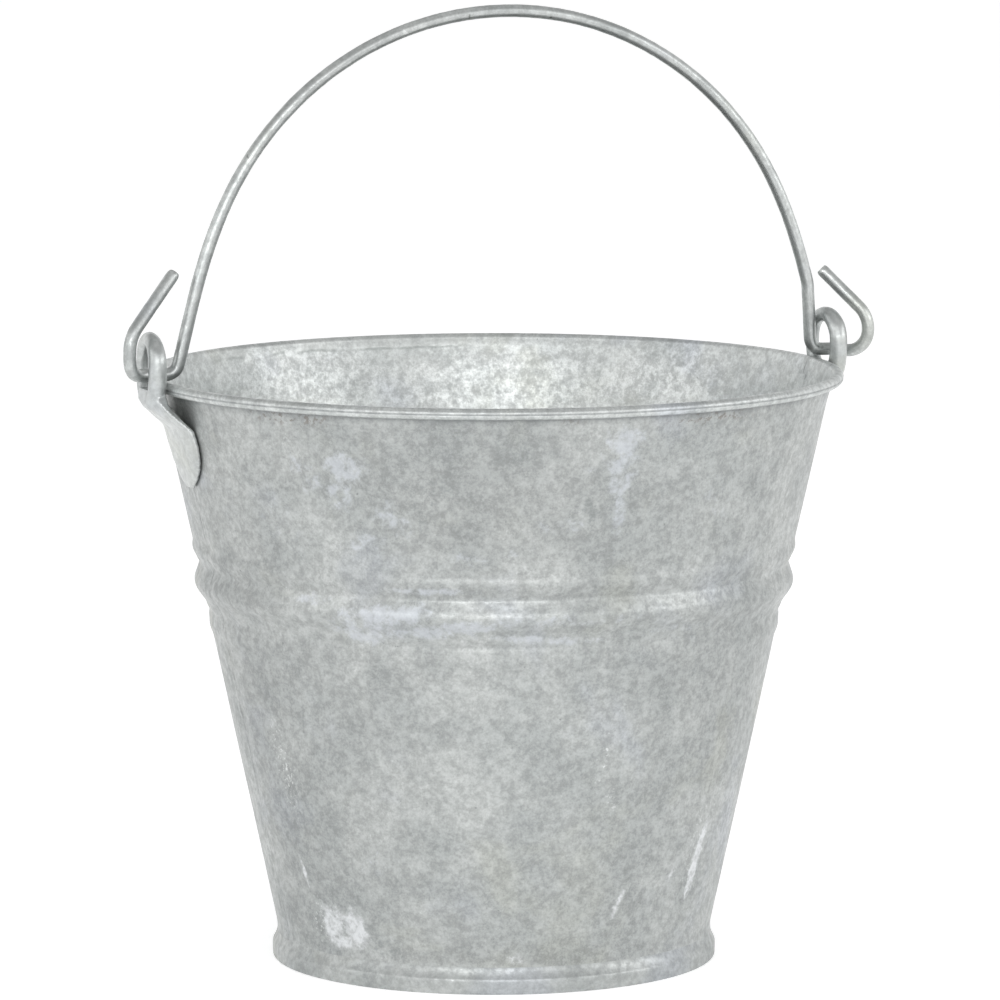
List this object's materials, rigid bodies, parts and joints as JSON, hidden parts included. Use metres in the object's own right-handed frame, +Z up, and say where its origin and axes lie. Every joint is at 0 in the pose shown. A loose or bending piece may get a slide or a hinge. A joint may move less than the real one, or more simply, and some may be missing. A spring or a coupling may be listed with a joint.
{
  "type": "florist bucket",
  "caption": "Round tapered florist bucket in hot-dip galvanised steel, with pressed beads, a wired rim, forged ears and a hooked wire bail that swings.",
  "frame": {"origin": "centre of the base, on the floor under the foot hoop", "axes": "+Z up along the bucket's axis; X through the two ears, +X to the right ear; the bail swings about X"},
  "size_m": [0.3174, 0.2798, 0.3825],
  "materials": {
    "zinc_body": "hot-dip galvanised, dull",
    "zinc_bottom": "hot-dip galvanised, dull",
    "zinc_wire": "hot-dip galvanised, satin",
    "zinc_ears": "hot-dip galvanised, satin"
  },
  "bodies": {
    "bucket": {"body_sheet_front": "zinc_body", "body_sheet_rear": "zinc_body", "bottom_disc": "zinc_bottom", "foot_hoop": "zinc_body", "rim_wire": "zinc_wire", "left_ear": "zinc_ears", "right_ear": "zinc_ears"},
    "bail": {"bail": "zinc_wire"}
  },
  "joints": [
    {"name": "bail_swing", "type": "hinge", "parent": "bucket", "child": "bail", "pos_m": [0, 0, 0.2398], "axis": [1, 0, 0], "range_deg": [-90, 90]}
  ]
}
